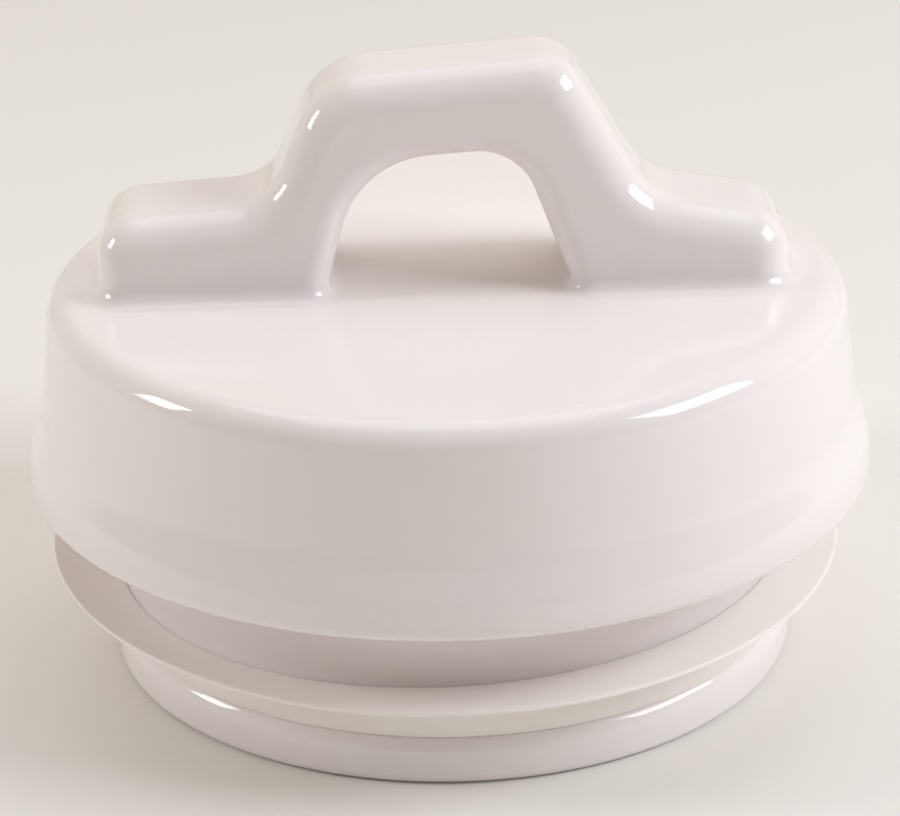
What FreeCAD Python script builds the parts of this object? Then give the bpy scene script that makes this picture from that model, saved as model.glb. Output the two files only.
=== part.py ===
import FreeCAD, Part
import math
import os
import Sketcher

# Tea canister lid: a slip-cast, glazed ceramic lid with a bridge handle, and the soft
# sealing ring that is stretched over its plug.
# Millimetres. Z is the lid's round axis, pointing up. The origin is the centre of the foot
# that the lid stands on. X runs along the handle, and the side seen first is at -Y.

os.makedirs("parts", exist_ok=True)
doc = FreeCAD.newDocument("TeaCanisterLid")

# Sizes

SIZES = (
    ("flange_diameter", 108.3, "flange at its lower edge, before that is rounded"),
    ("flange_band", 4.2, "height of the flange's edge"),
    ("flange_lean", 0.4, "how far the flange's edge leans in over that height"),
    ("sweep_height", 5.2, "height over which the flange sweeps in to the side wall"),
    ("sweep_depth", 1.95, "how far it sweeps in"),
    ("wall_lean", 1.8, "how far the side wall leans in up to the top"),
    ("seat_height", 24.0, "foot to the underside of the flange"),
    ("lid_height", 49.2, "foot to the flat top, without the handle"),
    ("cast_wall", 4.5, "thickness of the cast shell"),
    ("seat_width", 11.15, "flange's edge to the plug that goes down into the canister"),
    ("lip_step", 1.2, "how far the lip at the foot stands out from the plug"),
    ("lip_height", 6.2, "height of that lip, which keeps the ring on the plug"),
    ("shoulder_rounding", 3.6, "corner between the side wall and the top"),
    ("sweep_rounding", 12.0, "the two bends of the sweep above the flange"),
    ("flange_rounding", 1.5, "lower edge of the flange"),
    ("foot_rounding", 1.4, "outer edge of the foot"),
    ("hollow_bevel", 3.0, "slope in the corners of the hollow inside"),
    ("left_margin", 6.8, "edge of the top, before its rounding, to the handle's left end"),
    ("right_margin", 7.6, "edge of the top, before its rounding, to the handle's right end"),
    ("handle_thickness", 21.0, "front to back at the handle's foot"),
    ("handle_draft", 5.0, "lean of the front and back faces, in degrees"),
    ("left_step_rise", 10.0, "left step above the top"),
    ("right_step_rise", 11.2, "right step above the top, beside the arch"),
    ("right_end_rise", 8.2, "right step above the top, at its end"),
    ("left_riser_foot", 22.0, "axis to where the left riser leaves its step"),
    ("right_riser_foot", 25.3, "axis to where the right riser leaves its step"),
    ("arch_left", 15.2, "axis to the arch's left shoulder"),
    ("arch_right", 14.9, "axis to the arch's right shoulder"),
    ("arch_left_rise", 27.1, "left shoulder of the arch above the top"),
    ("arch_right_rise", 29.3, "right shoulder of the arch above the top"),
    ("gap_left_foot", 15.6, "axis to the finger gap's left side, at the top"),
    ("gap_right_foot", 16.6, "axis to the finger gap's right side, at the top"),
    ("gap_left_head", 10.5, "axis to the gap's left corner under the arch"),
    ("gap_right_head", 9.0, "axis to the gap's right corner under the arch"),
    ("gap_left_rise", 16.6, "left corner of the gap above the top"),
    ("gap_right_rise", 17.9, "right corner of the gap above the top"),
    ("handle_root", 2.0, "depth that the handle's feet run into the top"),
    ("step_end_bend", 5.4, "bend at the outer end of each step"),
    ("step_foot_bend", 9.0, "bend between each step and its riser"),
    ("arch_left_bend", 10.0, "bend at the arch's left shoulder"),
    ("arch_right_bend", 6.0, "bend at the arch's right shoulder"),
    ("gap_left_bend", 12.0, "bend in the gap's left corner"),
    ("gap_right_bend", 7.5, "bend in the gap's right corner"),
    ("handle_edge", 4.4, "rounding of the handle's outer edges"),
    ("gap_edge", 3.2, "rounding of the edges round the gap"),
    ("handle_fillet", 2.2, "fillet where the handle grows out of the top"),
    ("ring_wall", 0.9, "thickness of the ring's band"),
    ("ring_clearance", 0.1, "gap between the band and the plug"),
    ("ring_height", 6.7, "height of the ring above the lip, at the plug"),
    ("fin_reach", 6.9, "how far the ring's fin stands out from the band"),
    ("fin_root", 1.4, "ring's upper face at the plug down to the fin's lower face"),
    ("fin_tip", 0.7, "thickness of the fin at its edge"),
    ("fin_lift", 0.9, "rise of the upper face from the plug to the fin's edge"),
)

sheet = doc.addObject("Spreadsheet::Sheet", "Sizes")
for row, (alias, value, meaning) in enumerate(SIZES, start=1):
    sheet.set(f"A{row}", meaning)
    sheet.set(f"B{row}", str(value))
    sheet.setAlias(f"B{row}", alias)
doc.recompute()
ALIASES = {alias for alias, value, meaning in SIZES}


def bound(formula):
    """Formula over the sheet's names, as an expression that other objects can hold."""
    return " ".join(f"Sizes.{word}" if word in ALIASES else word for word in formula.split())


def worth(formula):
    """Present value of a formula over the sheet's names."""
    return float(sheet.evalExpression(bound(formula)))


# Radii that follow from the sizes, from the axis outwards

FLANGE = "flange_diameter / 2"
BAND_TOP = f"{FLANGE} - flange_lean"
WALL_FOOT = f"{BAND_TOP} - sweep_depth"
WALL_TOP = f"{WALL_FOOT} - wall_lean"
PLUG = f"{FLANGE} - seat_width"
LIP = f"{PLUG} + lip_step"
BORE = f"{PLUG} - cast_wall"
HANDLE_LEFT = f"-1 * ( {WALL_TOP} - left_margin )"
HANDLE_RIGHT = f"{WALL_TOP} - right_margin"


class Outline:
    """Closed outline on one of a body's own planes, of straight sides and rounded corners.

    Each corner is named, and its two places along the sketch's axes follow the sheet.
    Where a side runs level or upright it is held so, and its far corner needs one place only.
    A rounded corner is an arc that touches both sides, and the corner stays as a point.
    """

    def __init__(self, body, name, plane):
        self.sketch = body.newObject("Sketcher::SketchObject", name)
        own_plane = [item for item in body.Origin.OriginFeatures if item.Role == plane][0]
        self.sketch.AttachmentSupport = [(own_plane, "")]
        self.sketch.MapMode = "FlatFace"
        self.corners = []

    def corner(self, name, across=None, up=None, rounding=None):
        """Adds a corner. A place left out is the one of the corner before it."""
        self.corners.append((name, across, up, rounding))

    def places(self):
        """Present places of all corners."""
        found = []
        for name, across, up, rounding in self.corners:
            x = found[-1].x if across is None else worth(across)
            y = found[-1].y if up is None else worth(up)
            found.append(FreeCAD.Vector(x, y, 0))
        return found

    def close(self):
        """Draws the sides and arcs, and ties every corner to the sheet."""
        corners = self.places()
        count = len(corners)
        reaches = []
        for index, (name, across, up, rounding) in enumerate(self.corners):
            towards = (corners[index] - corners[index - 1]).normalize()
            away = (corners[(index + 1) % count] - corners[index]).normalize()
            radius = worth(rounding) if rounding else 0.0
            reach = radius * math.tan(towards.getAngle(away) / 2)
            reaches.append((corners[index] - towards * reach, corners[index] + away * reach))
        for index in range(count):
            side = Part.LineSegment(reaches[index][1], reaches[(index + 1) % count][0])
            self.sketch.addGeometry(side, False)
        for index, (name, across, up, rounding) in enumerate(self.corners):
            if rounding:
                held = (self.arc(index, name, corners[index], reaches[index], rounding), 1)
            else:
                self.hold(Sketcher.Constraint("Coincident", (index - 1) % count, 2, index, 1))
                held = (index, 1)
            self.place("DistanceX", held, index, name + "_across", across, corners[index].x)
            self.place("DistanceY", held, index, name + "_up", up, corners[index].y)
        return self.sketch

    def hold(self, constraint, name=None, formula=None):
        """Adds a constraint, and binds it to a formula where it has one."""
        number = self.sketch.addConstraint(constraint)
        if formula:
            self.sketch.renameConstraint(number, name)
            self.sketch.setExpression("Constraints." + name, bound(formula))

    def arc(self, index, name, corner, ends, rounding):
        """Rounds a corner with an arc that touches both sides, and returns the corner's point."""
        radius = worth(rounding)
        inward = ((ends[0] - corner) + (ends[1] - corner)).normalize()
        half = (ends[0] - corner).getAngle(inward)
        middle = corner + inward * (radius / math.sin(half) - radius)
        arc = self.sketch.addGeometry(Part.Arc(ends[0], middle, ends[1]), False)
        point = self.sketch.addGeometry(Part.Point(corner), True)
        before = (index - 1) % len(self.corners)
        counterclockwise = (corner - ends[0]).cross(ends[1] - corner).z > 0
        first, last = (1, 2) if counterclockwise else (2, 1)
        self.hold(Sketcher.Constraint("Tangent", before, 2, arc, first))
        self.hold(Sketcher.Constraint("Tangent", arc, last, index, 1))
        self.hold(Sketcher.Constraint("PointOnObject", point, 1, before))
        self.hold(Sketcher.Constraint("PointOnObject", point, 1, index))
        self.hold(Sketcher.Constraint("Radius", arc, radius), name + "_rounding", rounding)
        return point

    def place(self, kind, held, index, name, formula, value):
        """Holds one place of a corner by a size, or by the side that leads to it."""
        upright = kind == "DistanceX"
        if formula is None:
            self.hold(Sketcher.Constraint("Vertical" if upright else "Horizontal", index - 1))
        elif formula == "0":
            self.hold(Sketcher.Constraint("PointOnObject", *held, -2 if upright else -1))
        else:
            self.hold(Sketcher.Constraint(kind, -1, 1, *held, value), name, formula)


def turned(body, name, sketch):
    """Turns an outline right round the body's upright axis."""
    turn = body.newObject("PartDesign::Revolution", name)
    turn.Profile = sketch
    turn.ReferenceAxis = (sketch, ["V_Axis"])
    turn.Angle = 360
    return turn


# Edges, picked out by where they lie

NEAR = 1e-4


def level_with(value, *wanted):
    """True where a value is one of those wanted."""
    return any(abs(value - each) < NEAR for each in wanted)


def runs_across(face):
    """True for a face that runs straight from front to back."""
    return level_with(face.normalAt(0, 0).y, 0.0)


def leans(face):
    """True for the front and back faces of the handle."""
    return isinstance(face.Surface, Part.Plane) and not runs_across(face)


def cross_edge(across, up):
    """Test for the edge that runs front to back through one corner of the handle's outline."""
    place = FreeCAD.Vector(worth(across), 0, worth(up))
    return lambda edge, shape: edge.CenterOfMass.distanceToPoint(place) < NEAR


def any_of(*tests):
    """Test that passes an edge which one of several tests passes."""
    return lambda edge, shape: any(test(edge, shape) for test in tests)


def rim_of_a_leaning_face(edge, shape):
    """True where a leaning face meets a face that runs across, other than under the feet."""
    level = worth("lid_height - handle_root")
    if level_with(edge.CenterOfMass.z, level):
        return False
    faces = shape.ancestorsOfType(edge, Part.Face)
    return any(leans(face) for face in faces) and any(runs_across(face) for face in faces)


def foot_of_the_handle(edge, shape):
    """True where the handle's feet meet the flat top."""
    level = worth("lid_height")
    heights = [corner.Z for corner in edge.Vertexes] + [edge.CenterOfMass.z]
    round_the_axis = isinstance(edge.Curve, Part.Circle) and level_with(edge.Curve.Center.x, 0.0)
    return all(level_with(height, level) for height in heights) and not round_the_axis


def rounded(body, name, wanted, radius):
    """Rounds those edges of the body's last feature that a test picks out."""
    doc.recompute()
    last = body.Tip
    numbered = enumerate(last.Shape.Edges, start=1)
    edges = [f"Edge{number}" for number, edge in numbered if wanted(edge, last.Shape)]
    if not edges:
        raise ValueError(f"{name}: no edge to round")
    fillet = body.newObject("PartDesign::Fillet", name)
    fillet.Base = (last, edges)
    fillet.setExpression("Radius", bound(radius))
    return fillet


# Lid: the handle's block, with front and back faces that lean in towards the arch

lid = doc.addObject("PartDesign::Body", "lid_body")
lid.Label = "lid_body"

handle_outline = Outline(lid, "handle_outline", "XZ_Plane")
handle_outline.corner("left_foot", HANDLE_LEFT, "lid_height - handle_root")
handle_outline.corner("left_end", None, "lid_height + left_step_rise")
handle_outline.corner("left_riser", "-1 * left_riser_foot", None)
handle_outline.corner("arch_left", "-1 * arch_left", "lid_height + arch_left_rise")
handle_outline.corner("arch_right", "arch_right", "lid_height + arch_right_rise")
handle_outline.corner("right_riser", "right_riser_foot", "lid_height + right_step_rise")
handle_outline.corner("right_end", HANDLE_RIGHT, "lid_height + right_end_rise")
handle_outline.corner("right_foot", None, "lid_height - handle_root")
handle = lid.newObject("PartDesign::Pad", "handle_block")
handle.Profile = handle_outline.close()
handle.SideType = "Symmetric"
handle.setExpression("Length", bound("handle_thickness"))
doc.recompute()

block_faces = list(enumerate(handle.Shape.Faces, start=1))
lean = lid.newObject("PartDesign::Draft", "handle_lean")
doc.recompute()
lean.Base = (handle, [f"Face{number}" for number, face in block_faces if leans(face)])
underneath = [f"Face{number}" for number, face in block_faces if face.normalAt(0, 0).z < NEAR - 1]
lean.NeutralPlane = (handle, underneath)
lean.Reversed = True
lean.setExpression("Angle", bound("handle_draft"))

rounded(lid, "step_end_bends", any_of(
    cross_edge(HANDLE_LEFT, "lid_height + left_step_rise"),
    cross_edge(HANDLE_RIGHT, "lid_height + right_end_rise")), "step_end_bend")
rounded(lid, "step_foot_bends", any_of(
    cross_edge("-1 * left_riser_foot", "lid_height + left_step_rise"),
    cross_edge("right_riser_foot", "lid_height + right_step_rise")), "step_foot_bend")
rounded(lid, "arch_left_shoulder", cross_edge("-1 * arch_left", "lid_height + arch_left_rise"),
        "arch_left_bend")
rounded(lid, "arch_right_shoulder", cross_edge("arch_right", "lid_height + arch_right_rise"),
        "arch_right_bend")
rounded(lid, "handle_outer_edges", rim_of_a_leaning_face, "handle_edge")
doc.recompute()

# Lid: the finger gap under the arch

gap_outline = Outline(lid, "gap_outline", "XZ_Plane")
gap_outline.corner("gap_left", "-1 * gap_left_foot", "lid_height - handle_root")
gap_outline.corner("gap_left_top", "-1 * gap_left_head", "lid_height + gap_left_rise")
gap_outline.corner("gap_right_top", "gap_right_head", "lid_height + gap_right_rise")
gap_outline.corner("gap_right", "gap_right_foot", "lid_height - handle_root")
gap = lid.newObject("PartDesign::Pocket", "finger_gap")
gap.Profile = gap_outline.close()
gap.SideType = "Symmetric"
gap.setExpression("Length", bound("2 * handle_thickness"))

rounded(lid, "gap_left_corner", cross_edge("-1 * gap_left_head", "lid_height + gap_left_rise"),
        "gap_left_bend")
rounded(lid, "gap_right_corner", cross_edge("gap_right_head", "lid_height + gap_right_rise"),
        "gap_right_bend")
rounded(lid, "gap_edges", rim_of_a_leaning_face, "gap_edge")
doc.recompute()

# Lid: the cast shell with its plug, flange, side wall and top, open underneath

HOLLOW_FOOT = f"{WALL_FOOT} - cast_wall"
HOLLOW_TOP = f"{WALL_TOP} - cast_wall"
FLOOR = "seat_height + cast_wall"
CEILING = "lid_height - cast_wall"

shell_section = Outline(lid, "shell_section", "XZ_Plane")
shell_section.corner("foot_inner", BORE, "0")
shell_section.corner("foot_outer", LIP, None, "foot_rounding")
shell_section.corner("lip_top", None, "lip_height")
shell_section.corner("plug_foot", PLUG, None)
shell_section.corner("seat_inner", None, "seat_height")
shell_section.corner("seat_outer", FLANGE, None, "flange_rounding")
shell_section.corner("band_top", BAND_TOP, "seat_height + flange_band", "sweep_rounding")
shell_section.corner("wall_foot", WALL_FOOT, "seat_height + flange_band + sweep_height", "sweep_rounding")
shell_section.corner("wall_top", WALL_TOP, "lid_height", "shoulder_rounding")
shell_section.corner("top_middle", "0", None)
shell_section.corner("ceiling_middle", None, CEILING)
shell_section.corner("ceiling_edge", f"{HOLLOW_TOP} - hollow_bevel", None)
shell_section.corner("hollow_top", HOLLOW_TOP, f"{CEILING} - hollow_bevel")
shell_section.corner("hollow_side", HOLLOW_FOOT, f"{FLOOR} + hollow_bevel")
shell_section.corner("hollow_foot", f"{HOLLOW_FOOT} - hollow_bevel", FLOOR)
shell_section.corner("bore_top", BORE, None)
turned(lid, "shell", shell_section.close())
rounded(lid, "handle_feet", foot_of_the_handle, "handle_fillet")

# Sealing ring: a band stretched over the plug, with a fin that reaches the canister's wall

ring = doc.addObject("PartDesign::Body", "seal_ring")
ring.Label = "seal_ring"

BAND_INNER = f"{PLUG} + ring_clearance"
BAND_OUTER = f"{BAND_INNER} + ring_wall"
FIN_EDGE = f"{BAND_OUTER} + fin_reach"
RIM = "lip_height + ring_height"
FIN_EDGE_TOP = f"{RIM} + fin_lift"

ring_section = Outline(ring, "ring_section", "XZ_Plane")
ring_section.corner("foot_inner", BAND_INNER, "lip_height")
ring_section.corner("foot_outer", BAND_OUTER, None)
ring_section.corner("fin_under", None, f"{RIM} - fin_root")
ring_section.corner("edge_under", FIN_EDGE, f"{FIN_EDGE_TOP} - fin_tip")
ring_section.corner("edge_over", None, FIN_EDGE_TOP)
ring_section.corner("rim", BAND_INNER, RIM)
turned(ring, "band_and_fin", ring_section.close())

# Both pieces lie where they are drawn

SUB_PARTS = (lid, ring)
for sub_part in SUB_PARTS:
    sub_part.Placement = FreeCAD.Placement()
doc.recompute()

for item in doc.Objects:
    if {"Invalid", "Error"} & set(item.State):
        raise RuntimeError(f"{item.Label} could not be built")
for sub_part in SUB_PARTS:
    if sub_part.Shape.isNull() or not sub_part.Shape.isValid():
        raise RuntimeError(f"{sub_part.Label} has no sound solid")
for sub_part in SUB_PARTS:
    sub_part.Shape.exportStep(f"parts/{sub_part.Label}.step")
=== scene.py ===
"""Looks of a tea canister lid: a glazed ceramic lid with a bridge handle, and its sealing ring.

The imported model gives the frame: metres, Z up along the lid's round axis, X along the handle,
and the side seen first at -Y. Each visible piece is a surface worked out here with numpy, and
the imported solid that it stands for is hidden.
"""
import logging
from dataclasses import dataclass, field
from enum import Enum
from typing import Any

import bmesh
import bpy
import numpy as np
from mathutils import Matrix, Vector


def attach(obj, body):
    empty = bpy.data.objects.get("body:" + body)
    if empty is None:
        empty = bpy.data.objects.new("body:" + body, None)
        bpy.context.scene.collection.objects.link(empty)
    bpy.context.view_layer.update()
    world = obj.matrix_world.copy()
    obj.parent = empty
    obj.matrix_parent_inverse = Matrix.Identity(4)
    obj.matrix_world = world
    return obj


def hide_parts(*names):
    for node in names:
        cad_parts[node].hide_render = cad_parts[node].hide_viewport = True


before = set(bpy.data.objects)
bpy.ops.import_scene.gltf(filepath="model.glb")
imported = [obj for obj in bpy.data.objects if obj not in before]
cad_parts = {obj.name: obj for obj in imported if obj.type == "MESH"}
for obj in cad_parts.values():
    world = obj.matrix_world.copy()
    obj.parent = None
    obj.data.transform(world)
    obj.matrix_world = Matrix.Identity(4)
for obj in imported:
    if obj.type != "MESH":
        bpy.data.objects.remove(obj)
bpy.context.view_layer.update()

log = logging.getLogger("lid")

MM = 0.001  # metres in a millimetre
TURN = 2.0 * np.pi
QUARTER = TURN / 4.0
WELD = 1e-6  # metres within which two points are one
ARC_PULL = 0.5523  # way of a curve's inner points to its corner, for a quarter circle


def to_linear(code: str) -> tuple[float, float, float, float]:
    """Turns a screen colour into the linear one that a shader takes.

    The sRGB curve is a straight line for the darkest levels, and a power of 2.4 above them.

    Args:
        code: sRGB colour as six hex digits after a hash.

    Returns:
        Linear red, green and blue, and full alpha.
    """
    screen = np.array([int(code[place:place + 2], 16) for place in (1, 3, 5)]) / 255.0
    linear = np.where(screen <= 0.04045, screen / 12.92, ((screen + 0.055) / 1.055) ** 2.4)
    return (float(linear[0]), float(linear[1]), float(linear[2]), 1.0)


def per_metre(spacing: float) -> float:
    """Scale of a noise, from its spacing in millimetres, on coordinates in metres."""
    return 1.0 / (spacing * MM)


def add_node(tree: bpy.types.NodeTree, kind: str, settings: dict[str, Any] | None = None,
             links: dict[str, Any] | None = None) -> bpy.types.Node:
    """Adds one shader node with its settings and the links that feed it.

    Args:
        tree: node tree that takes the node.
        kind: node type, such as ShaderNodeBump.
        settings: values by name, for the node's own properties or its input sockets.
        links: output sockets by the name of the input that they feed.

    Returns:
        The new node.
    """
    node = tree.nodes.new(kind)
    for name, value in (settings or {}).items():
        if hasattr(node, name):
            setattr(node, name, value)
        else:
            node.inputs[name].default_value = value
    for name, output in (links or {}).items():
        tree.links.new(output, node.inputs[name])
    return node


# Surfaces

def rounded_line(corners: np.ndarray, radii: np.ndarray, steps: int) -> np.ndarray:
    """Line through corners, each rounded by an arc.

    An arc of radius r at a corner where the line turns by t starts and ends r tan(t / 2) from
    the corner, and its points turn evenly about a centre that lies r from both sides.

    Args:
        corners: (n, 2) places of the corners, the two ends among them.
        radii: (n,) radius at each corner, and 0 where it stays sharp or is an end.
        steps: points on each arc.

    Returns:
        (m, 2) points from the first corner to the last.
    """
    pieces = [corners[:1]]
    for before, corner, after, radius in zip(corners, corners[1:], corners[2:], radii[1:]):
        towards = (corner - before) / np.linalg.norm(corner - before)
        away = (after - corner) / np.linalg.norm(after - corner)
        cross = towards[0] * away[1] - towards[1] * away[0]
        turn = np.arctan2(cross, towards @ away)
        if radius <= 0.0:
            pieces.append(corner[None])
            continue
        side = np.sign(turn)
        start = corner - towards * radius * np.tan(abs(turn) / 2.0)
        centre = start + side * radius * np.array([-towards[1], towards[0]])
        angle = np.linspace(0.0, turn, steps)
        arm = start - centre
        across = arm[0] * np.cos(angle) - arm[1] * np.sin(angle)
        up = arm[0] * np.sin(angle) + arm[1] * np.cos(angle)
        pieces.append(centre + np.stack([across, up], axis=-1))
    pieces.append(corners[-1:])
    return np.concatenate(pieces)


def along(line: np.ndarray, shares: np.ndarray) -> np.ndarray:
    """Points at given shares of a line's length.

    Args:
        line: (n, k) points.
        shares: (m,) shares of the length, from 0 to 1.

    Returns:
        (m, k) points.
    """
    steps = np.linalg.norm(np.diff(line, axis=0), axis=1)
    length = np.concatenate([[0.0], np.cumsum(steps)])
    places = [np.interp(shares * length[-1], length, axis) for axis in line.T]
    return np.stack(places, axis=-1)


def share_of(line: np.ndarray, place: np.ndarray) -> float:
    """Share of a line's length at its point nearest to a place.

    Args:
        line: (n, 2) points.
        place: (2,) the place.

    Returns:
        Share of the length, from 0 to 1.
    """
    samples = 4001
    fine = np.linspace(0.0, 1.0, samples)
    distance = np.linalg.norm(along(line, fine) - place, axis=1)
    return float(fine[np.argmin(distance)])


def grid_faces(rows: int, columns: int, closed: bool) -> np.ndarray:
    """Four-cornered faces of a grid of points.

    Args:
        rows: points down the grid.
        columns: points across it.
        closed: True where the last column joins the first again.

    Returns:
        (n, 4) point numbers.
    """
    number = np.arange(rows * columns).reshape(rows, columns)
    if closed:
        number = np.concatenate([number, number[:, :1]], axis=1)
    corners = [number[:-1, :-1], number[:-1, 1:], number[1:, 1:], number[1:, :-1]]
    return np.stack([corner.ravel() for corner in corners], axis=-1)


@dataclass
class Skin:
    """Patches of a closed surface, which are welded where their borders meet."""

    points: list[np.ndarray] = field(default_factory=list)
    faces: list[np.ndarray] = field(default_factory=list)
    count: int = 0

    def add(self, patch: np.ndarray, closed: bool = False) -> None:
        """Adds a patch.

        Args:
            patch: (rows, columns, 3) points in millimetres.
            closed: True where the last column joins the first again.
        """
        rows, columns = patch.shape[:2]
        self.points.append(patch.reshape(-1, 3) * MM)
        self.faces.append(grid_faces(rows, columns, closed) + self.count)
        self.count += rows * columns

    def to_object(self, name: str, material: bpy.types.Material) -> bpy.types.Object:
        """Makes the mesh object, with its doubles merged and its faces pointing outwards.

        Args:
            name: the object's name.
            material: its finish.

        Returns:
            The object, in the scene.
        """
        mesh = bpy.data.meshes.new(name)
        mesh.from_pydata(np.concatenate(self.points), [], np.concatenate(self.faces).tolist())
        work = bmesh.new()
        work.from_mesh(mesh)
        bmesh.ops.remove_doubles(work, verts=work.verts, dist=WELD)
        bmesh.ops.dissolve_degenerate(work, edges=work.edges, dist=WELD)
        bmesh.ops.recalc_face_normals(work, faces=work.faces)
        work.to_mesh(mesh)
        work.free()
        mesh.shade_smooth()
        mesh.materials.append(material)
        piece = bpy.data.objects.new(name, mesh)
        bpy.context.scene.collection.objects.link(piece)
        return piece


def finer(line: np.ndarray, step: float) -> np.ndarray:
    """Line with points added evenly wherever two of its own are further apart than a step.

    Args:
        line: (n, 2) points.
        step: longest distance wanted between neighbours.

    Returns:
        (m, 2) points.
    """
    gaps = np.diff(line, axis=0)
    parts = np.maximum(1, np.ceil(np.linalg.norm(gaps, axis=1) / step)).astype(int)
    start = np.repeat(np.arange(len(parts)), parts)
    before = np.repeat(np.cumsum(parts) - parts, parts)
    share = (np.arange(parts.sum()) - before) / np.repeat(parts, parts)
    return np.concatenate([line[start] + gaps[start] * share[:, None], line[-1:]])


def turned(profile: np.ndarray, angle: np.ndarray) -> np.ndarray:
    """Surface of a profile turned about the upright axis.

    A point of the profile at radius r and height z becomes (r cos a, r sin a, z) at angle a.

    Args:
        profile: (n, 2) radii and heights.
        angle: (m,) angles from the X axis.

    Returns:
        (n, m, 3) points.
    """
    radius, height = profile[:, :1], profile[:, 1:]
    across, deep = radius * np.cos(angle), radius * np.sin(angle)
    return np.stack(np.broadcast_arrays(across, deep, height), axis=-1)


def smooth_step(share: np.ndarray) -> np.ndarray:
    """Eases a share from 0 to 1, held at both ends."""
    held = np.clip(share, 0.0, 1.0)
    return held * held * (3.0 - 2.0 * held)


@dataclass(frozen=True)
class Wave:
    """Wave round the upright axis, which repeats count times in a turn.

    Its start is in radians, and its twist with the height in radians per millimetre.
    """

    size: float
    count: float
    start: float
    twist: float = 0.0

    def at(self, angle: np.ndarray, height: np.ndarray) -> np.ndarray:
        """Size times the cosine of count times the angle, plus start, plus twist times height."""
        return self.size * np.cos(self.count * angle + self.start + self.twist * height)


class Side(Enum):
    """Foot of the handle, by the sign of its X."""

    LEFT = -1.0
    RIGHT = 1.0


# Ceramic lid

@dataclass(frozen=True)
class LidSizes:
    """Sizes of the cast lid in millimetres.

    Heights are from the foot, and radii from the axis. The margins lie between the wall's top
    and the handle's ends. The bead rounds the lip's upper edge and drops it a little.
    """

    seat_height: float = 24.0
    lid_height: float = 49.2
    flange: float = 54.15
    band: float = 4.2
    band_lean: float = 0.4
    sweep_height: float = 5.2
    sweep_depth: float = 1.95
    wall_lean: float = 1.8
    cast_wall: float = 4.5
    seat_width: float = 11.15
    lip_step: float = 1.2
    lip_height: float = 6.2
    left_margin: float = 6.8
    right_margin: float = 7.6
    shoulder: float = 3.6
    sweep: float = 12.0
    flange_edge: float = 1.5
    seat_corner: float = 1.0
    bead_drop: float = 0.84
    bead: float = 2.8
    foot_edge: float = 1.4
    hollow_bend: float = 3.0
    bend_steps: int = 9
    spacing: float = 1.8

    @property
    def wall_foot(self) -> float:
        """Radius of the side wall where it leaves the sweep."""
        return self.flange - self.band_lean - self.sweep_depth

    @property
    def wall_top(self) -> float:
        """Radius of the side wall at the top, before its rounding."""
        return self.wall_foot - self.wall_lean

    @property
    def flat(self) -> float:
        """Radius of the flat top inside the shoulder."""
        return self.wall_top - self.shoulder

    @property
    def plug(self) -> float:
        """Radius of the plug."""
        return self.flange - self.seat_width

    def profile(self) -> np.ndarray:
        """Line from the flat top over the shoulder, wall, flange, plug and hollow to the axis.

        Returns:
            (n, 2) radii and heights.
        """
        band_top = self.seat_height + self.band
        lip = self.plug + self.lip_step
        bore = self.plug - self.cast_wall
        floor = self.seat_height + self.cast_wall
        ceiling = self.lid_height - self.cast_wall
        rounded = (
            (self.flat, self.lid_height, 0.0),
            (self.wall_top, self.lid_height, self.shoulder),
            (self.wall_foot, band_top + self.sweep_height, self.sweep),
            (self.flange - self.band_lean, band_top, self.sweep),
            (self.flange, self.seat_height, self.flange_edge),
            (self.plug, self.seat_height, self.seat_corner),
            (self.plug, self.lip_height, 0.0),
            (lip, self.lip_height - self.bead_drop, self.bead),
            (lip, 0.0, self.foot_edge),
            (bore, 0.0, self.foot_edge),
            (bore, floor, self.hollow_bend / 2.0),
            (self.wall_foot - self.cast_wall, floor, self.hollow_bend),
            (self.wall_top - self.cast_wall, ceiling, self.hollow_bend),
            (0.0, ceiling, 0.0))
        table = np.array(rounded)
        return finer(rounded_line(table[:, :2], table[:, 2], self.bend_steps), self.spacing)


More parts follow.
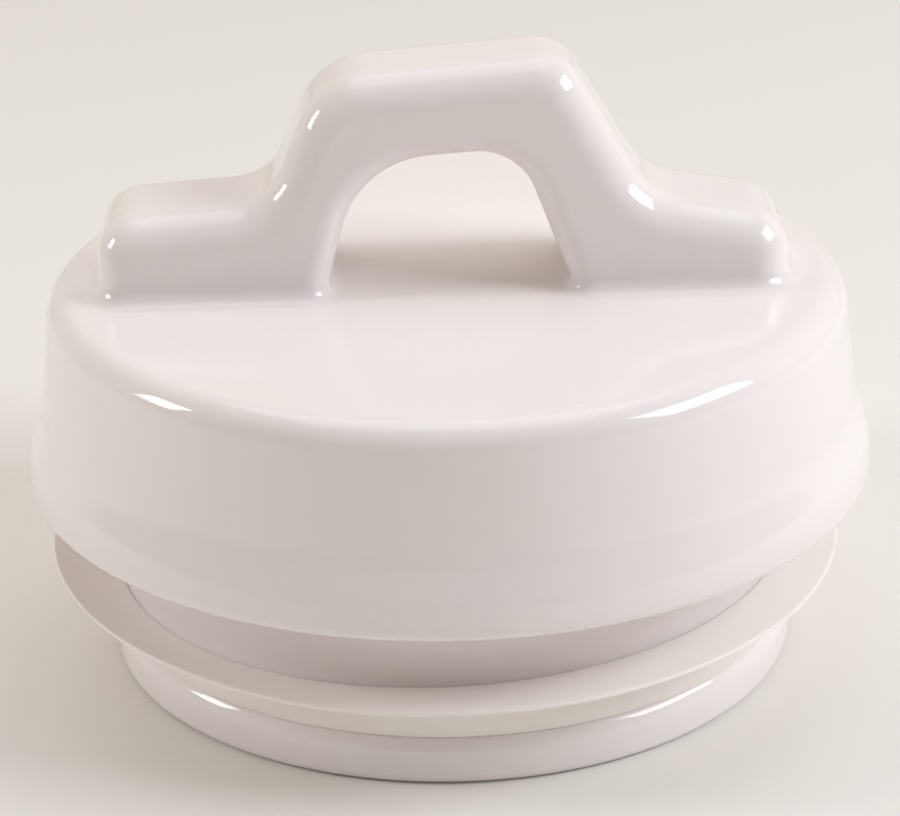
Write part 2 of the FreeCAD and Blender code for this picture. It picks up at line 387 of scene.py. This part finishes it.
@dataclass(frozen=True)
class BridgeHandle:
    """Stepped bridge handle, as one skin from its left foot over the arch to its right foot.

    The skin is a rounded section carried from foot to foot. One side of the section follows the
    handle's outer line and the other the line round the finger gap, both seen from the front.

    Places are in millimetres from the axis, and rises from the flat top. The thickness and the
    gap's feet are measured one root below that top, and the faces lean by degrees. Low match is
    the rise of the place on the gap's line that faces a step's outer corner. The settles are
    the heights over which the section turns level above the foot roundings.
    """

    lid: LidSizes
    thickness: float = 21.0
    root: float = 2.0
    lean: float = 5.0
    left_step: float = 10.0
    left_slope: float = 1.5
    right_step: float = 11.2
    right_end: float = 8.2
    left_riser: float = 22.0
    right_riser: float = 25.3
    arch_left: float = 15.2
    arch_right: float = 14.9
    arch_left_rise: float = 27.1
    arch_right_rise: float = 29.3
    gap_left_foot: float = 15.6
    gap_right_foot: float = 16.6
    gap_left_head: float = 10.5
    gap_right_head: float = 9.0
    gap_left_rise: float = 16.6
    gap_right_rise: float = 17.9
    end_bend: float = 5.4
    left_step_bend: float = 7.0
    right_step_bend: float = 9.0
    arch_left_bend: float = 10.0
    arch_right_bend: float = 6.0
    gap_left_bend: float = 12.0
    gap_right_bend: float = 7.5
    outer_edge: float = 4.4
    gap_edge: float = 3.2
    fillet: float = 2.2
    low_match: float = 3.4
    outer_settle: float = 0.4
    gap_settle: float = 5.0
    strip_steps: int = 10
    edge_steps: int = 9
    face_steps: int = 48
    arc_steps: int = 34
    path_steps: int = 250
    line_steps: int = 40
    fillet_steps: int = 9
    ground_shares: tuple[float, ...] = (0.0, 0.02, 0.12, 0.35, 0.65, 0.9, 0.985, 1.0)

    @property
    def columns(self) -> int:
        """Points round the section."""
        return 2 * self.strip_steps + 4 * self.edge_steps + 2 * self.face_steps

    @property
    def wide(self) -> int:
        """Steps of a foot's loop that face the lid's rim; the rest face the other foot."""
        return self.strip_steps + 2 * self.edge_steps + 2 * self.arc_steps

    def outer_corners(self) -> np.ndarray:
        """Corners of the line over the steps and the arch, from the left foot to the right one.

        Returns:
            (8, 2) places along X and heights.
        """
        top = self.lid.lid_height
        left = self.lid.left_margin - self.lid.wall_top
        right = self.lid.wall_top - self.lid.right_margin
        return np.array([
            (left, top + self.fillet), (left, top + self.left_step),
            (-self.left_riser, top + self.left_step + self.left_slope),
            (-self.arch_left, top + self.arch_left_rise),
            (self.arch_right, top + self.arch_right_rise),
            (self.right_riser, top + self.right_step),
            (right, top + self.right_end), (right, top + self.fillet)])

    def gap_corners(self) -> np.ndarray:
        """Corners of the line round the finger gap, from the left foot to the right one.

        Its feet are where its sides reach the top of the foot roundings.

        Returns:
            (4, 2) places along X and heights.
        """
        top = self.lid.lid_height
        low = np.array([(-self.gap_left_foot, top - self.root),
                        (self.gap_right_foot, top - self.root)])
        high = np.array([(-self.gap_left_head, top + self.gap_left_rise),
                         (self.gap_right_head, top + self.gap_right_rise)])
        share = (self.root + self.fillet) / (high[:, 1:] - low[:, 1:])
        foot = low + share * (high - low)
        return np.array([foot[0], high[0], high[1], foot[1]])

    def lines(self) -> tuple[np.ndarray, np.ndarray, np.ndarray, np.ndarray]:
        """Matched rows of the two lines.

        The outer line has evenly spaced rows. Each of its corners faces a chosen place of the
        gap line, and the rows between two of them are spaced evenly along the gap line too.

        Returns:
            (rows, 2) points of the outer line and of the gap line, and at each the direction
            that leads square into the clay.
        """
        outer_corners, gap_corners = self.outer_corners(), self.gap_corners()
        outer = rounded_line(outer_corners, np.array([
            0.0, self.end_bend, self.left_step_bend, self.arch_left_bend, self.arch_right_bend,
            self.right_step_bend, self.end_bend, 0.0]), self.line_steps)
        gap = rounded_line(gap_corners, np.array([
            0.0, self.gap_left_bend, self.gap_right_bend, 0.0]), self.line_steps)
        top = self.lid.lid_height
        left_match = self.left_step - self.outer_edge
        right_match = self.right_step - self.outer_edge
        matches = np.array([
            (gap_corners[0, 0], top + self.low_match), (gap_corners[0, 0], top + left_match),
            gap_corners[1], gap_corners[2],
            (gap_corners[3, 0], top + right_match), (gap_corners[3, 0], top + self.low_match)])
        from_outer = [0.0, *(share_of(outer, corner) for corner in outer_corners[1:-1]), 1.0]
        from_gap = [0.0, *(share_of(gap, match) for match in matches), 1.0]
        share = np.linspace(0.0, 1.0, self.path_steps)
        gap_share = np.interp(share, from_outer, from_gap)
        return (along(outer, share), along(gap, gap_share),
                self.inward(outer, share, 1.0, self.outer_settle),
                self.inward(gap, gap_share, -1.0, self.gap_settle))

    def inward(self, line: np.ndarray, share: np.ndarray, turn: float, settle: float) -> np.ndarray:
        """Directions square to a line, which level out towards the feet.

        Args:
            line: (n, 2) points.
            share: (rows,) shares of its length.
            turn: 1 for the right of the way along the line, and -1 for its left.
            settle: height over which they level out, above the foot roundings.

        Returns:
            (rows, 2) directions.
        """
        reach = 0.004
        ahead, behind = np.minimum(share + reach, 1.0), np.maximum(share - reach, 0.0)
        way = along(line, ahead) - along(line, behind)
        way /= np.linalg.norm(way, axis=1, keepdims=True)
        square = turn * np.stack([way[:, 1], -way[:, 0]], axis=-1)
        height = along(line, share)[:, 1] - self.lid.lid_height - self.fillet
        free = smooth_step(height / settle)[:, None]
        level = np.stack([np.sign(square[:, 0]), np.zeros(len(square))], axis=-1)
        mixed = free * square + (1.0 - free) * level
        return mixed / np.linalg.norm(mixed, axis=1, keepdims=True)

    def half(self, height: np.ndarray) -> np.ndarray:
        """Half of the handle's thickness at a height; both faces lean inwards as they rise."""
        rise = height - (self.lid.lid_height - self.root)
        return self.thickness / 2.0 - rise * np.tan(np.radians(self.lean))

    def edge(self, line: np.ndarray, inward: np.ndarray, radius: float, side: float) -> np.ndarray:
        """Rounding between a strip and a leaning face.

        At an angle a from 0 at the strip to a right angle at the face, the surface lies
        r (1 - cos a) in from the line and r (1 - sin a) in from the face.

        Args:
            line: (rows, 2) points.
            inward: (rows, 2) directions into the clay.
            radius: radius of the rounding.
            side: 1 for the back face and -1 for the front one.

        Returns:
            (rows, edge_steps + 1, 3) points, from the strip to the face.
        """
        angle = np.linspace(0.0, QUARTER, self.edge_steps + 1)
        place = line[:, None] + radius * (1.0 - np.cos(angle))[None, :, None] * inward[:, None]
        depth = side * (self.half(place[..., 1]) - radius * (1.0 - np.sin(angle)))
        return np.stack([place[..., 0], depth, place[..., 1]], axis=-1)

    def skin(self) -> np.ndarray:
        """Whole skin of the handle above its foot roundings.

        Returns:
            (rows, columns, 3) points. A row starts at the back of the outer strip, and goes by
            the front face, the gap's strip and the back face round to its start.
        """
        outer, gap, into_outer, into_gap = self.lines()
        edges = {side: (self.edge(outer, into_outer, self.outer_edge, side),
                        self.edge(gap, into_gap, self.gap_edge, side)) for side in (-1.0, 1.0)}
        share = np.linspace(0.0, 1.0, self.strip_steps, endpoint=False)[None, :, None]
        outer_strip = edges[1.0][0][:, :1] * (1.0 - share) + edges[-1.0][0][:, :1] * share
        gap_strip = edges[-1.0][1][:, :1] * (1.0 - share) + edges[1.0][1][:, :1] * share
        share = np.linspace(0.0, 1.0, self.face_steps, endpoint=False)[None, :, None]
        front = edges[-1.0][0][:, -1:] * (1.0 - share) + edges[-1.0][1][:, -1:] * share
        back = edges[1.0][1][:, -1:] * (1.0 - share) + edges[1.0][0][:, -1:] * share
        return np.concatenate([
            outer_strip, edges[-1.0][0][:, :-1], front, edges[-1.0][1][:, :0:-1],
            gap_strip, edges[1.0][1][:, :-1], back, edges[1.0][0][:, :0:-1]], axis=1)

    def collar(self, skin: np.ndarray, side: Side) -> np.ndarray:
        """Rounding from a foot of the skin out to the flat top.

        Each column is a curve that leaves the wall along it and meets the top level, with its
        two inner control points drawn towards the corner as for a quarter circle.

        Args:
            skin: (rows, columns, 3) the handle's skin.
            side: the foot.

        Returns:
            (fillet_steps, columns, 3) points, from the wall to the top.
        """
        ring, beyond = (skin[0], skin[1]) if side is Side.LEFT else (skin[-1], skin[-2])
        down = ring - beyond
        corner = ring + down * ((self.lid.lid_height - ring[:, 2]) / down[:, 2])[:, None]
        way = np.roll(corner, -1, axis=0) - np.roll(corner, 1, axis=0)
        out = -side.value * np.stack([way[:, 1], -way[:, 0], np.zeros(len(way))], axis=-1)
        out /= np.linalg.norm(out, axis=1, keepdims=True)
        end = corner + self.fillet * out
        upper, lower = ring + ARC_PULL * (corner - ring), end + ARC_PULL * (corner - end)
        share = np.linspace(0.0, 1.0, self.fillet_steps)[:, None, None]
        rest = 1.0 - share
        return (rest ** 3 * ring + 3.0 * rest ** 2 * share * upper
                + 3.0 * rest * share ** 2 * lower + share ** 3 * end)

    def ground(self, loop: np.ndarray, side: Side) -> np.ndarray:
        """Half of the flat top, between a foot's loop and the half circle with its diameter.

        Args:
            loop: (columns, 3) the foot's loop on the flat top.
            side: the foot.

        Returns:
            (rows, columns, 3) points, from the loop outwards.
        """
        start = self.columns - self.edge_steps - self.arc_steps
        inner = np.roll(loop, -start, axis=0)
        radius = self.lid.flat
        angle = np.pi * (0.5 - side.value * np.arange(self.wide) / self.wide)
        rest = len(loop) - self.wide
        across = np.linspace(-radius, radius, rest, endpoint=False)
        outline = np.concatenate([
            np.stack([radius * np.cos(angle), radius * np.sin(angle)], axis=-1),
            np.stack([np.zeros(rest), across], axis=-1)])
        outline = np.concatenate([outline, np.full((len(loop), 1), self.lid.lid_height)], axis=1)
        share = np.array(self.ground_shares)[:, None, None]
        return inner * (1.0 - share) + outline * share


@dataclass(frozen=True)
class CastLid:
    """Cast lid in one watertight skin: handle, flat top, wall, flange, plug, lip and hollow."""

    sizes: LidSizes
    handle: BridgeHandle
    drift: float = 0.0012
    waves: tuple[Wave, ...] = (Wave(1.0, 2.0, 0.7, 1.0 / 30.0), Wave(0.5, 3.0, -1.1, 1.0 / 17.0))

    def uneven(self, patch: np.ndarray) -> np.ndarray:
        """Draws a patch in by a few hundredths of a millimetre, as cast and fired clay is.

        The width shrinks by a share that drifts slowly round the axis and with the height.
        Every patch is drawn by the same rule, so their borders still meet.

        Args:
            patch: (rows, columns, 3) points.

        Returns:
            The points, moved.
        """
        x, y, z = patch[..., 0], patch[..., 1], patch[..., 2]
        angle = np.arctan2(y, x)
        drawn = sum(wave.at(angle, z) for wave in self.waves)
        most = sum(wave.size for wave in self.waves)
        fade = np.hypot(x, y) / self.sizes.flange
        width = 1.0 - self.drift * (most + drawn * fade * fade) / (2.0 * most)
        return np.stack([x * width, y * width, z], axis=-1)

    def build(self, finish: bpy.types.Material) -> bpy.types.Object:
        """Builds the lid.

        Args:
            finish: material of the glazed clay.

        Returns:
            The lid's object.
        """
        whole = Skin()
        skin = self.handle.skin()
        whole.add(self.uneven(skin), closed=True)
        for side in Side:
            collar = self.handle.collar(skin, side)
            whole.add(self.uneven(collar), closed=True)
            whole.add(self.uneven(self.handle.ground(collar[-1], side)), closed=True)
        angle = np.pi * (0.5 + np.arange(2 * self.handle.wide) / self.handle.wide)
        whole.add(self.uneven(turned(self.sizes.profile(), angle)), closed=True)
        return whole.to_object("glazed_lid", finish)


# Sealing ring

@dataclass(frozen=True)
class SealRing:
    """Moulded band round the plug with a thin fin, which sits a little askew.

    Heights and radii are in millimetres, and those of the ring before it is set askew. The fin
    rises most on the left, then at the back and at both sides, with a little waviness.
    """

    lid: LidSizes
    wall: float = 0.9
    clearance: float = 0.03
    height: float = 6.7
    fin_reach: float = 6.9
    fin_root: float = 1.4
    fin_tip: float = 0.5
    fin_lift: float = 0.9
    foot_wall: float = 0.35
    foot_taper: float = 1.6
    foot_edge: float = 0.12
    band_bend: float = 1.5
    fin_bend: float = 1.0
    tip_under: float = 0.22
    tip_over: float = 0.24
    rim_edge: float = 0.15
    bend_steps: int = 6
    spacing: float = 0.8
    columns: int = 240
    tilt: float = 1.5
    shift: float = 0.8
    fin_rise: float = 0.7
    fin_waves: tuple[Wave, ...] = (
        Wave(-1.9, 1.0, 0.0), Wave(0.5, 1.0, -QUARTER), Wave(0.4, 2.0, 0.0),
        Wave(0.07, 5.0, 1.0 - QUARTER), Wave(0.04, 9.0, 2.0 - QUARTER))

    def profile(self) -> np.ndarray:
        """Closed line round the section.

        Returns:
            (n, 2) radii and heights, with the first point once more at the end.
        """
        inner = self.lid.plug + self.clearance
        outer = inner + self.wall
        tip = outer + self.fin_reach
        foot = self.lid.lip_height
        foot_outer = inner + self.foot_wall
        foot_middle = (inner + foot_outer) / 2.0
        rim = foot + self.height
        edge = rim + self.fin_lift
        table = np.array([
            (foot_middle, foot, 0.0),
            (foot_outer, foot, self.foot_edge),
            (outer, foot + self.foot_taper, self.band_bend),
            (outer, rim - self.fin_root, self.fin_bend),
            (tip, edge - self.fin_tip, self.tip_under),
            (tip, edge, self.tip_over),
            (inner, rim, self.rim_edge),
            (inner, foot, self.foot_edge),
            (foot_middle, foot, 0.0)])
        return finer(rounded_line(table[:, :2], table[:, 2], self.bend_steps), self.spacing)

    def askew(self, patch: np.ndarray) -> np.ndarray:
        """Tilts the ring's top up to the right, and bends its fin up, most of all on the left.

        The tilt grows from the band's foot to its top. The bend is the fin's rise plus its
        waves round the axis, times the power of 1.5 of the share of the fin's reach. The fin is
        also pushed to the left by its shift, times that share.

        Args:
            patch: (rows, columns, 3) points of the level ring.

        Returns:
            The points, moved.
        """
        x, y, z = patch[..., 0], patch[..., 1], patch[..., 2]
        angle = np.arctan2(y, x)
        outer = self.lid.plug + self.clearance + self.wall
        reach = np.clip((np.hypot(x, y) - outer) / self.fin_reach, 0.0, 1.0)
        bend = self.fin_rise + sum(wave.at(angle, z) for wave in self.fin_waves)
        free = np.clip((z - self.lid.lip_height) / self.height, 0.0, 1.0)
        lift = self.tilt * free * x / outer + bend * reach * np.sqrt(reach)
        return np.stack([x - self.shift * reach, y, z + lift], axis=-1)

    def build(self, finish: bpy.types.Material) -> bpy.types.Object:
        """Builds the ring.

        Args:
            finish: material of the silicone.

        Returns:
            The ring's object.
        """
        whole = Skin()
        angle = np.linspace(0.0, TURN, self.columns, endpoint=False)
        whole.add(self.askew(turned(self.profile(), angle)), closed=True)
        return whole.to_object("silicone_ring", finish)


# Finishes

def new_material(name: str) -> tuple[bpy.types.Material, bpy.types.Node]:
    """Makes a material.

    Args:
        name: name of the material.

    Returns:
        The material, and its principled shader.
    """
    material = bpy.data.materials.new(name)
    material.use_nodes = True
    shader = next(node for node in material.node_tree.nodes if node.type == "BSDF_PRINCIPLED")
    return material, shader


@dataclass(frozen=True)
class GlazedEarthenware:
    """White slip-cast earthenware under a clear glaze. Gives a soft white body with sharp,
    slightly wavering reflections. Spacings and depths are in millimetres."""

    clay: str = "#F8F3F4"
    pooled: str = "#F4EEEE"
    pool_spacing: float = 38.0
    wave_spacing: float = 9.0
    wave_depth: float = 0.05
    roughness: float = 0.07
    ior: float = 1.5
    soft: float = 0.12
    soft_radius: tuple[float, float, float] = (1.0, 0.75, 0.55)
    soft_depth: float = 1.2

    def material(self) -> bpy.types.Material:
        """Makes the glazed finish.

        Returns:
            The material.
        """
        material, shader = new_material("glazed slip-cast earthenware")
        tree = material.node_tree
        place = add_node(tree, "ShaderNodeTexCoord").outputs["Object"]
        # Glaze lies thicker in places, and the eye sees a white that isn't quite even.
        pools = add_node(tree, "ShaderNodeTexNoise",
                         {"Scale": per_metre(self.pool_spacing), "Detail": 2.0}, {"Vector": place})
        tone = add_node(tree, "ShaderNodeMix", {"data_type": "RGBA"},
                        {"Factor": pools.outputs["Fac"]})
        # A Mix node's sockets for colours come after those for numbers and for vectors.
        first, second, mixed = tone.inputs[6], tone.inputs[7], tone.outputs[2]
        first.default_value, second.default_value = to_linear(self.clay), to_linear(self.pooled)
        # Its face is faintly wavy, and the eye sees the lamps' reflections waver.
        waves = add_node(tree, "ShaderNodeTexNoise",
                         {"Scale": per_metre(self.wave_spacing), "Detail": 1.0}, {"Vector": place})
        bump = add_node(tree, "ShaderNodeBump", {"Distance": self.wave_depth * MM, "Strength": 1.0},
                        {"Height": waves.outputs["Fac"]})
        tree.links.new(mixed, shader.inputs["Base Color"])
        tree.links.new(bump.outputs["Normal"], shader.inputs["Normal"])
        shader.inputs["Roughness"].default_value = self.roughness
        shader.inputs["IOR"].default_value = self.ior
        shader.inputs["Subsurface Weight"].default_value = self.soft
        shader.inputs["Subsurface Radius"].default_value = self.soft_radius
        shader.inputs["Subsurface Scale"].default_value = self.soft_depth * MM
        return material


@dataclass(frozen=True)
class MouldedSilicone:
    """Milky moulded silicone. Gives a satin face with a soft, slightly waxy depth. Spacings and
    depths are in millimetres."""

    milk: str = "#FFF9F5"
    grain_spacing: float = 1.5
    grain_depth: float = 0.01
    grain_strength: float = 0.6
    roughness: float = 0.36
    ior: float = 1.41
    soft: float = 0.25
    soft_radius: tuple[float, float, float] = (1.0, 0.96, 0.9)
    soft_depth: float = 0.5

    def material(self) -> bpy.types.Material:
        """Makes the silicone finish.

        Returns:
            The material.
        """
        material, shader = new_material("moulded silicone")
        tree = material.node_tree
        place = add_node(tree, "ShaderNodeTexCoord").outputs["Object"]
        # The mould's fine grain, drawn coarser than it is so that it shows: the eye sees satin.
        grain = add_node(tree, "ShaderNodeTexNoise",
                         {"Scale": per_metre(self.grain_spacing), "Detail": 3.0}, {"Vector": place})
        bump = add_node(tree, "ShaderNodeBump",
                        {"Distance": self.grain_depth * MM, "Strength": self.grain_strength},
                        {"Height": grain.outputs["Fac"]})
        tree.links.new(bump.outputs["Normal"], shader.inputs["Normal"])
        shader.inputs["Base Color"].default_value = to_linear(self.milk)
        shader.inputs["Roughness"].default_value = self.roughness
        shader.inputs["IOR"].default_value = self.ior
        shader.inputs["Subsurface Weight"].default_value = self.soft
        shader.inputs["Subsurface Radius"].default_value = self.soft_radius
        shader.inputs["Subsurface Scale"].default_value = self.soft_depth * MM
        return material


@dataclass(frozen=True)
class PaperSweep:
    """Matt studio paper. Gives a pale warm floor that takes a soft shadow."""

    shade: str = "#EFEDEA"
    roughness: float = 0.8
    specular: float = 0.3

    def material(self) -> bpy.types.Material:
        """Makes the paper finish.

        Returns:
            The material.
        """
        material, shader = new_material("matt studio paper")
        shader.inputs["Base Color"].default_value = to_linear(self.shade)
        shader.inputs["Roughness"].default_value = self.roughness
        shader.inputs["Specular IOR Level"].default_value = self.specular
        return material


# Studio

@dataclass(frozen=True)
class Lamp:
    """Soft box that faces the lid. Its direction is seen from the lid, with the azimuth turned
    from the front towards the right, in degrees, and its sizes and distance are in metres."""

    name: str
    azimuth: float
    elevation: float
    distance: float
    width: float
    height: float
    radiance: float
    tint: str = "#FFFFFF"

    def place(self, aim: Vector) -> None:
        """Hangs the lamp.

        A flat lamp of radiance L and area A gives off pi L A watts.

        Args:
            aim: point that it faces, in metres.
        """
        data = bpy.data.lights.new(self.name, "AREA")
        data.shape = "RECTANGLE"
        data.size, data.size_y = self.width, self.height
        data.energy = self.radiance * np.pi * self.width * self.height
        data.color = to_linear(self.tint)[:3]
        azimuth, elevation = np.radians(self.azimuth), np.radians(self.elevation)
        away = Vector((np.sin(azimuth) * np.cos(elevation), -np.cos(azimuth) * np.cos(elevation),
                       np.sin(elevation)))
        lamp = bpy.data.objects.new(self.name, data)
        facing = away.to_track_quat("Z", "Y").to_matrix().to_4x4()
        lamp.matrix_world = Matrix.Translation(aim + away * self.distance) @ facing
        bpy.context.scene.collection.objects.link(lamp)


@dataclass(frozen=True)
class Studio:
    """Floor, surroundings and lamps, in metres. Front and back are the surroundings' levels."""

    floor_size: float = 3.0
    aim: tuple[float, float, float] = (0.0, 0.0, 0.035)
    front: float = 0.18
    back: float = 0.64
    sky: str = "#FFF2E0"
    lamps: tuple[Lamp, ...] = (
        Lamp("right_box", azimuth=78.0, elevation=34.0, distance=0.9, width=0.5, height=0.33,
             radiance=8.8, tint="#F5F9FF"),
        Lamp("left_box", azimuth=-88.0, elevation=24.0, distance=0.85, width=0.2, height=0.26,
             radiance=10.5),
        Lamp("overhead", azimuth=180.0, elevation=80.0, distance=1.2, width=1.0, height=1.0,
             radiance=1.3, tint="#F5F9FF"),
    )

    def build(self, paper: bpy.types.Material) -> bpy.types.Object:
        """Builds the studio.

        Args:
            paper: material of the floor.

        Returns:
            The floor.
        """
        half = self.floor_size / 2.0
        corners = [(-half, -half, 0.0), (half, -half, 0.0), (half, half, 0.0), (-half, half, 0.0)]
        mesh = bpy.data.meshes.new("floor")
        mesh.from_pydata(corners, [], [(0, 1, 2, 3)])
        mesh.materials.append(paper)
        floor = bpy.data.objects.new("floor", mesh)
        bpy.context.scene.collection.objects.link(floor)
        for lamp in self.lamps:
            lamp.place(Vector(self.aim))
        self.surround()
        return floor

    def surround(self) -> None:
        """Sets the surroundings, which grow lighter from the camera's side to the back."""
        world = bpy.data.worlds.new("studio")
        bpy.context.scene.world = world
        world.use_nodes = True
        tree = world.node_tree
        backdrop = next(node for node in tree.nodes if node.type == "BACKGROUND")
        place = add_node(tree, "ShaderNodeTexCoord").outputs["Generated"]
        parts = add_node(tree, "ShaderNodeSeparateXYZ", None, {"Vector": place})
        level = add_node(tree, "ShaderNodeMapRange", {
            "From Min": -1.0, "From Max": 1.0, "To Min": self.front, "To Max": self.back},
            {"Value": parts.outputs["Y"]})
        backdrop.inputs["Color"].default_value = to_linear(self.sky)
        tree.links.new(level.outputs["Result"], backdrop.inputs["Strength"])


@dataclass(frozen=True)
class Viewpoint:
    """Camera that looks down on the front of the lid.

    Its place, lens and sensor are in millimetres, and its angles in radians: yaw turns it to
    the right, pitch downwards, and roll about its own axis.
    """

    place: tuple[float, float, float] = (-5.917, -364.526, 187.052)
    yaw: float = 0.01665
    pitch: float = 0.406488
    roll: float = -0.021102
    lens: float = 123.42
    sensor: float = 36.0

    def build(self) -> None:
        """Builds the camera and makes it the scene's own."""
        ahead = Vector((np.sin(self.yaw) * np.cos(self.pitch),
                        np.cos(self.yaw) * np.cos(self.pitch), -np.sin(self.pitch)))
        level = Vector((np.cos(self.yaw), -np.sin(self.yaw), 0.0))
        rise = level.cross(ahead)
        right = level * np.cos(self.roll) + rise * np.sin(self.roll)
        up = rise * np.cos(self.roll) - level * np.sin(self.roll)
        data = bpy.data.cameras.new("camera")
        data.lens = self.lens
        data.sensor_width = self.sensor
        data.sensor_fit = "HORIZONTAL"
        camera = bpy.data.objects.new("camera", data)
        turn = Matrix((right, up, -ahead)).transposed().to_4x4()
        camera.matrix_world = Matrix.Translation(Vector(self.place) * MM) @ turn
        bpy.context.scene.collection.objects.link(camera)
        bpy.context.scene.camera = camera


def main() -> None:
    """Builds the lid, its ring and the studio."""
    logging.basicConfig(level=logging.INFO, format="%(name)s: %(message)s")
    sizes = LidSizes()
    lid = CastLid(sizes, BridgeHandle(sizes)).build(GlazedEarthenware().material())
    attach(lid, "root")
    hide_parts("lid_body")
    log.info("%s has %d faces", lid.name, len(lid.data.polygons))
    ring = SealRing(sizes).build(MouldedSilicone().material())
    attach(ring, "root")
    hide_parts("seal_ring")
    log.info("%s has %d faces", ring.name, len(ring.data.polygons))
    Studio().build(PaperSweep().material())
    Viewpoint().build()
    bpy.context.scene.view_settings.view_transform = "Standard"


if __name__ == "__main__":
    main()
